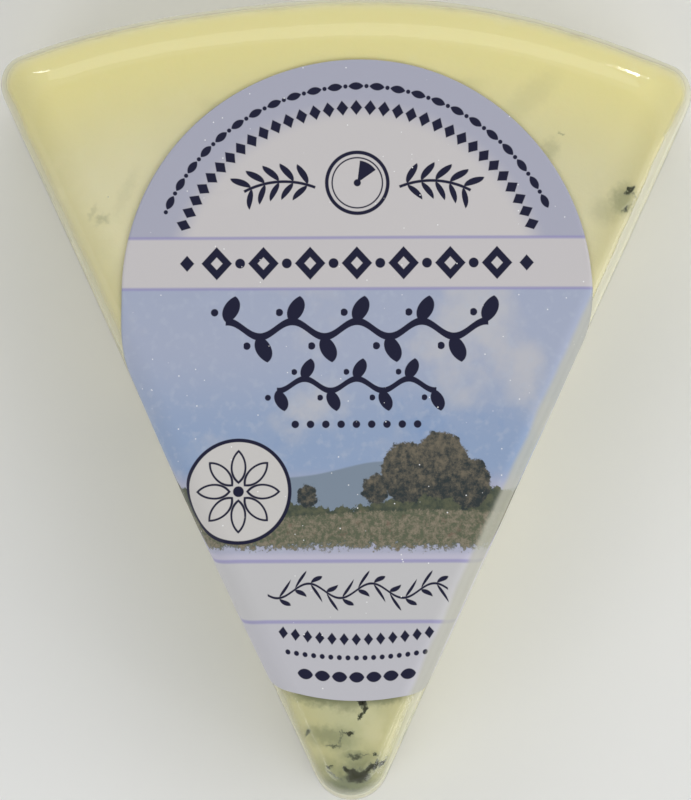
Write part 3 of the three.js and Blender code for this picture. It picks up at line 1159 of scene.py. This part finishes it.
def sky_colours(tree, vector, v):
    """A soft sky with pale clouds, deeper blue low down and pinkish towards the hills."""
    clouds = grain(tree, vector, 13, detail=4, seed=8)
    wisps = grain(tree, vector, 6, detail=5, seed=9, roughness=0.6)
    mottled = grain(tree, vector, 1.1, detail=3, seed=23).rise(0.0, 0.2)
    return paint(
        tree,
        HIGH_SKY,
        (LOW_SKY, v.rise(4, -8)),
        (CLOUD, (clouds + wisps * 0.5).rise(-0.02, 0.2) * v.rise(-11, -5) * 0.85),
        (DEEP_SKY, (wisps - clouds * 0.4).rise(0.02, 0.18) * v.rise(3, -8) * 0.6),
        (PINK_SKY, v.rise(-9.5, -12.5) * 0.8),
        (PALE_SKY, mottled * 0.3),
    )


def view_colours(tree, vector, colour, u, v):
    """Low hills with a hedge in front of them, and a meadow that fades out at the bottom."""
    leafy = grain(tree, vector, 1.1, detail=4, seed=10, roughness=0.7)
    rough = grain(tree, vector, 0.45, detail=3, seed=11, roughness=0.7)
    hill = (u * 0.16 + 1.4).sine() * 1.5 + (u * 0.37).sine() * 0.5 + HORIZON + 1.6
    near = (u * 0.21 - 1.1).sine() * 1.2 + HORIZON - 0.5 + leafy * 2.6
    meadow = (u * 0.13 + 0.5).sine() * 0.5 + HORIZON - 2.4 + rough * 1.2
    crowns = smaller(*(length(u - x, (v - y) * 0.85) - size for x, y, size in TREES))
    crowns += leafy * 1.8 + rough * 0.5
    shown = (v + 18.8 + leafy * 2.4 + rough * 2.6).rise(-0.2, 0.5)
    shade = (leafy + rough * 0.7 + (v - HORIZON) * 0.02).rise(-0.15, 0.3)
    woods = paint(tree, DARK_WOOD, (LIGHT_WOOD, leafy.rise(-0.15, 0.2)))
    foliage = paint(tree, DARK_LEAVES, (LIGHT_LEAVES, shade))
    earthy = leafy.rise(0.05, 0.2) * 0.7
    grass = paint(tree, DARK_GRASS, (LIGHT_GRASS, rough.rise(-0.12, 0.18)), (EARTH, earthy))
    return paint(
        tree,
        colour,
        (HILL, (hill - v).rise(-0.1, 0.15) * shown),
        (woods, (near - v).rise(-0.08, 0.1) * shown),
        (foliage, crowns.rise(0.1, -0.15) * shown),
        (grass, (meadow - v).rise(-0.1, 0.2) * shown),
    )


def label_colours(tree, vector, u, v):
    """The printed fields of the label, from its top to its bottom, without the navy ink."""
    arch = length(u - ARCH[0], v - ARCH[1])
    badge = length(u - BADGE[0], v - BADGE[1])
    rules = [(VIOLET, cover(abs(v - height) - half * 0.55, 0.12) * 0.75) for height, half in RULES]
    upper = paint(
        tree,
        LILAC,
        (FIELD_WHITE, arch.rise(FIELD_RADIUS + 1.6, FIELD_RADIUS - 1.4)),
        (BAND_WHITE, within(v, BAND_LOW, BAND_TOP)),
        (sky_colours(tree, vector, v), beneath(v, BAND_LOW)),
    )
    return paint(
        tree,
        view_colours(tree, vector, upper, u, v),
        (PALE_LILAC, within(v, -20.4, -19.4, 0.35)),
        (LOW_BAND_WHITE, within(v, LOW_BAND_LOW, LOW_BAND_TOP)),
        (LOW_LILAC, beneath(v, LOW_BAND_LOW)),
        *rules,
        (BADGE_WHITE, cover(badge - BADGE_RADIUS)),
    )


def painted_fold_sheen(tree, vector, u, v):
    """Where the label is folded over the right edge, a pale reflection is painted on it."""
    out = (u + LABEL_SHIFT - fold_x(v + LABEL_MIDDLE_Y)) * math.cos(HALF_ANGLE)
    out += grain(tree, vector, 5, seed=20) * 0.8
    return out.rise(0.7, 1.4) * out.rise(4.4, 3.4)


def label_material():
    """Thinly coated paper with its print, a little worn, with painted glints and a painted reflection
    on its right fold.
    """
    material, tree, output = new_material("printed_label")
    vector, (u, v, _) = position(tree, "label_mm")
    ink = larger(*(ornament(u, v) for ornament in ORNAMENTS))
    worn = grain(tree, vector, 0.5, detail=3, seed=12).rise(0.2, 0.3) * 0.3
    colour = paint(
        tree,
        label_colours(tree, vector, u, v),
        (NAVY, ink * (1 - worn)),
        # White dots: painted glints on the label's coat
        (PAINTED_GLINT, specks(tree, vector, 1.0, 0.1, 0.3)),
        # The right fold: a painted pale reflection
        (FOLD_SHEEN, painted_fold_sheen(tree, vector, u, v) * 0.75),
    )
    settings = {
        "Roughness": 0.6,
        "Specular IOR Level": 0.25,
        "Coat Weight": 0.22,
        "Coat Roughness": 0.16,
    }
    shader = principled(tree, output, settings)
    tree.links.new(colour, shader.inputs["Base Color"])
    fibres = grain(tree, vector, 0.6, seed=13) + grain(tree, vector, 3, seed=14) * 2
    tree.links.new(bump(tree, fibres, 0.00005, 0.4), shader.inputs["Coat Normal"])
    return material


# Camera, floor and light


def add_camera():
    back = Vector((0, -math.sin(CAMERA_TILT), math.cos(CAMERA_TILT)))
    right = Vector((1, 0, 0))
    up = back.cross(right)
    rolled_right = right * math.cos(CAMERA_ROLL) + up * math.sin(CAMERA_ROLL)
    rolled_up = up * math.cos(CAMERA_ROLL) - right * math.sin(CAMERA_ROLL)
    camera = bpy.data.objects.new("camera", bpy.data.cameras.new("camera"))
    camera.data.lens = LENS
    camera.data.sensor_width = SENSOR
    camera.data.clip_start = 0.01
    turn = Matrix((rolled_right, rolled_up, back)).transposed().to_4x4()
    place = (TARGET + back * CAMERA_DISTANCE + Vector(SHIFT)) * MM
    camera.matrix_world = Matrix.Translation(place) @ turn
    bpy.context.scene.collection.objects.link(camera)
    bpy.context.scene.camera = camera


def add_floor():
    corners = [(-1, -1), (1, -1), (1, 1), (-1, 1)]
    mesh = bpy.data.meshes.new("floor")
    mesh.from_pydata([(x * FLOOR_HALF, y * FLOOR_HALF, 0) for x, y in corners], [], [(0, 1, 2, 3)])
    floor = bpy.data.objects.new("floor", mesh)
    material, tree, output = new_material("floor")
    principled(tree, output, {"Base Color": linear(FLOOR), "Roughness": 0.8})
    mesh.materials.append(material)
    bpy.context.scene.collection.objects.link(floor)


def towards(azimuth, elevation, distance):
    """The place at that distance from the object, in metres: azimuth 0 is +X and 90 is +Y."""
    turn = math.radians(azimuth)
    tilt = math.radians(elevation)
    flat = distance * math.cos(tilt)
    return flat * math.cos(turn), flat * math.sin(turn), distance * math.sin(tilt)


def add_light(name, azimuth, elevation, distance, width, height, watts):
    """A flat soft white light that faces the object."""
    light = bpy.data.lights.new(name, "AREA")
    light.shape = "RECTANGLE"
    light.size = width
    light.size_y = height
    light.energy = watts
    lamp = bpy.data.objects.new(name, light)
    lamp.location = towards(azimuth, elevation, distance)
    lamp.rotation_euler = lamp.location.to_track_quat("Z", "Y").to_euler()
    bpy.context.scene.collection.objects.link(lamp)


def add_room():
    """A pale room with a dark ceiling, so that the flat top mirrors little."""
    world = bpy.data.worlds.new("studio")
    world.use_nodes = True
    tree = world.node_tree
    direction = tree.nodes.new("ShaderNodeTexCoord")
    parts = tree.nodes.new("ShaderNodeSeparateXYZ")
    tree.links.new(direction.outputs["Generated"], parts.inputs[0])
    height = Signal(tree, parts.outputs[2])
    walls = height.rise(-0.1, 0.5) * (ROOM_GLOW - HORIZON_GLOW) + HORIZON_GLOW
    glow = height.rise(CEILING_FULL, CEILING_START) * (walls - CEILING_GLOW) + CEILING_GLOW
    background = tree.nodes["Background"]
    background.inputs["Color"].default_value = linear(ROOM)
    tree.links.new(glow.socket, background.inputs["Strength"])
    bpy.context.scene.world = world
    bpy.context.scene.view_settings.view_transform = "Standard"


add_camera()
add_floor()
for name, numbers in LIGHTS.items():
    add_light(name, *numbers)
add_room()
add_cheese()
add_film()
add_label()
